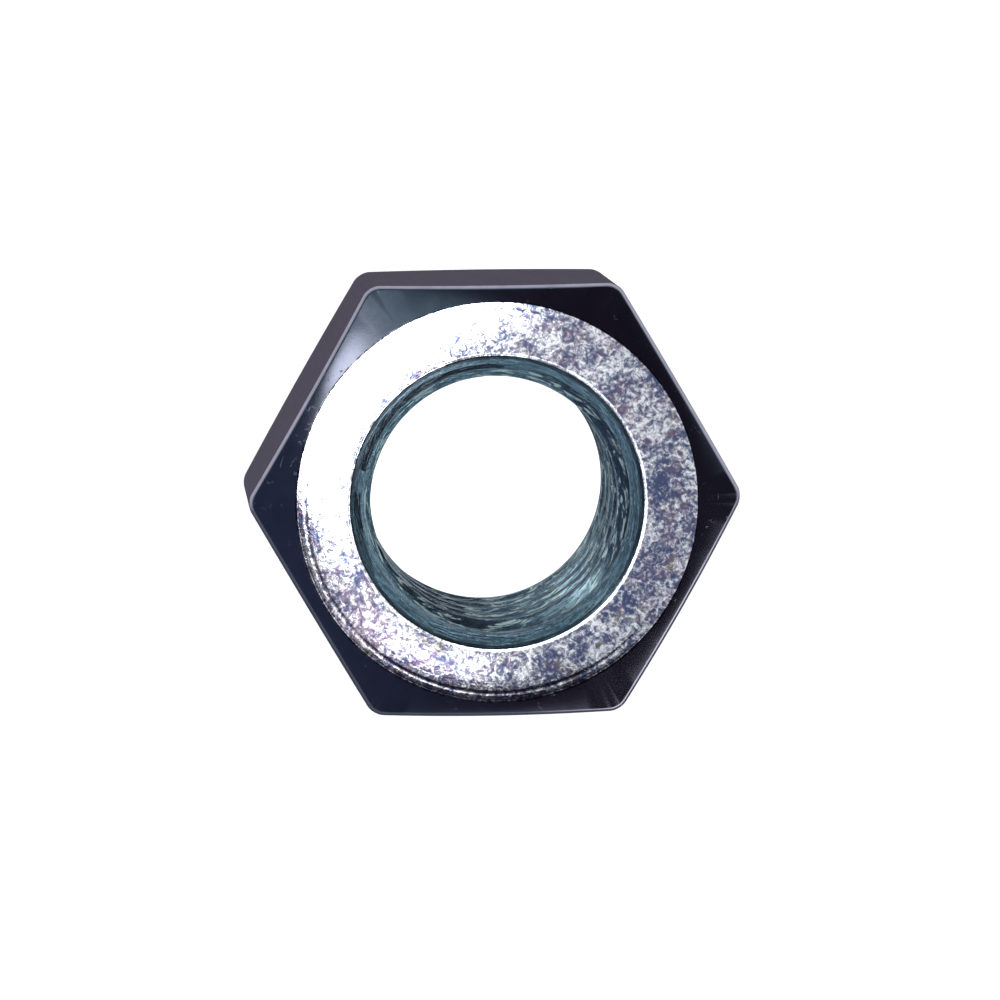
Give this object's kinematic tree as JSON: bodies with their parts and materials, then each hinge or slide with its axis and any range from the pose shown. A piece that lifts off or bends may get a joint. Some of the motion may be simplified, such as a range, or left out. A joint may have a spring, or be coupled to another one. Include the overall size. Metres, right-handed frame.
{
  "type": "hex nut",
  "caption": "Hexagon nut with chamfered ends, flat bearing faces and a countersunk right-hand threaded bore.",
  "frame": {"origin": "centre of the lower bearing face, on the thread axis", "axes": "+Z along the thread axis, +Y square to one of the flats, +X through a corner"},
  "size_m": [0.0206, 0.018, 0.0106],
  "materials": {
    "zinc_plated_steel": "bright zinc plating with a clear blue passivated film over forged steel"
  },
  "bodies": {
    "root": {"nut_body": "zinc_plated_steel"}
  },
  "joints": []
}
